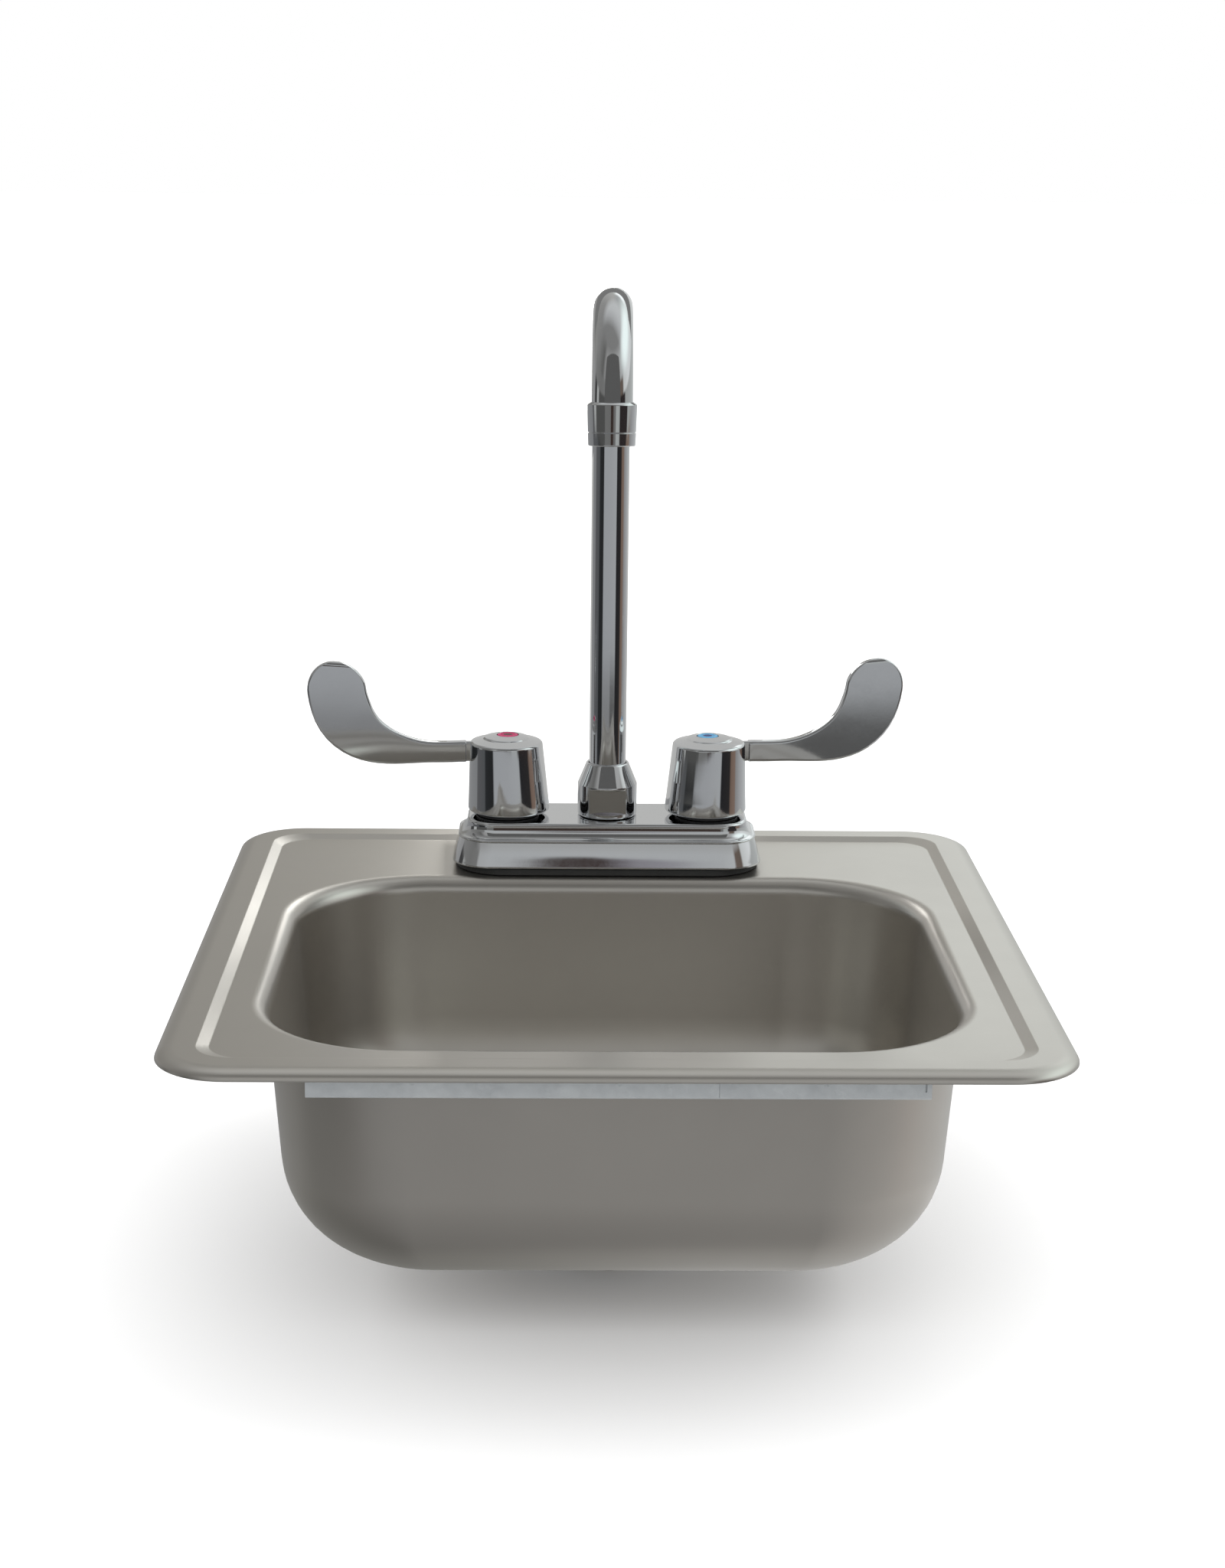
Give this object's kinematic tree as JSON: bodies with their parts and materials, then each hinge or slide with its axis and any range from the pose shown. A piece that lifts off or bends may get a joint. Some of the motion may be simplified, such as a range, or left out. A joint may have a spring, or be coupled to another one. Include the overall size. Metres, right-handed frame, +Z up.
{
  "type": "sink with faucet",
  "caption": "Square drop-in steel sink with a round-cornered bowl, strainer drain and clip rails, and a gooseneck faucet with blade handles.",
  "frame": {"origin": "centre of the rim, on the counter plane that the rim edge rests on", "axes": "+X to the right for a user at the sink, +Y to the back, +Z up"},
  "size_m": [0.381, 0.381, 0.4418],
  "materials": {
    "satin_steel": "satin stainless steel",
    "galvanised": "galvanised steel",
    "chrome": "polished chrome plate",
    "brass": "machined brass",
    "zinc_steel": "zinc plated steel",
    "black_rubber": "matt black rubber",
    "fibre": "pressed fibre",
    "nylon": "natural nylon",
    "hot_button": "rose red plastic",
    "cold_button": "light blue plastic",
    "grey_plastic": "grey plastic"
  },
  "bodies": {
    "sink": {"sink_bowl": "satin_steel", "rail_front": "galvanised", "rail_right": "galvanised", "rail_back": "galvanised", "rail_left": "galvanised", "drain_body": "satin_steel", "drain_gasket": "black_rubber", "drain_fibre_washer": "fibre", "drain_locknut": "zinc_steel", "faucet_gasket": "black_rubber", "base_plate": "chrome", "waterway": "brass", "hot_shank_washer": "zinc_steel", "hot_shank_locknut": "brass", "hot_bonnet_ring": "zinc_steel", "hot_cartridge": "brass", "cold_shank_washer": "zinc_steel", "cold_shank_locknut": "brass", "cold_bonnet_ring": "zinc_steel", "cold_cartridge": "brass", "spout_nut": "chrome", "spout_washer": "nylon"},
    "hot_handle": {"hot_stem": "brass", "hot_handle": "chrome", "hot_handle_screw": "zinc_steel", "hot_index_button": "hot_button"},
    "cold_handle": {"cold_stem": "brass", "cold_handle": "chrome", "cold_handle_screw": "zinc_steel", "cold_index_button": "cold_button"},
    "spout": {"spout_ferrule": "brass", "spout_seal": "black_rubber", "spout_tube": "chrome", "aerator_housing": "chrome", "aerator_washer": "black_rubber", "aerator_screen": "grey_plastic"},
    "drain_basket": {"basket_cup": "satin_steel", "basket_stopper": "black_rubber", "basket_knob": "satin_steel"}
  },
  "joints": [
    {"name": "hot_handle_turn", "type": "hinge", "parent": "sink", "child": "hot_handle", "pos_m": [-0.0508, 0.1285, 0], "axis": [0, 0, 1], "range_deg": [0, 90]},
    {"name": "cold_handle_turn", "type": "hinge", "parent": "sink", "child": "cold_handle", "pos_m": [0.0508, 0.1285, 0], "axis": [0, 0, 1], "range_deg": [-90, 0]},
    {"name": "spout_swivel", "type": "hinge", "parent": "sink", "child": "spout", "pos_m": [0, 0.1285, 0], "axis": [0, 0, 1], "continuous": true},
    {"name": "drain_basket_lift", "type": "slide", "parent": "sink", "child": "drain_basket", "axis": [0, 0, 1], "range_m": [0, 0.008]}
  ]
}
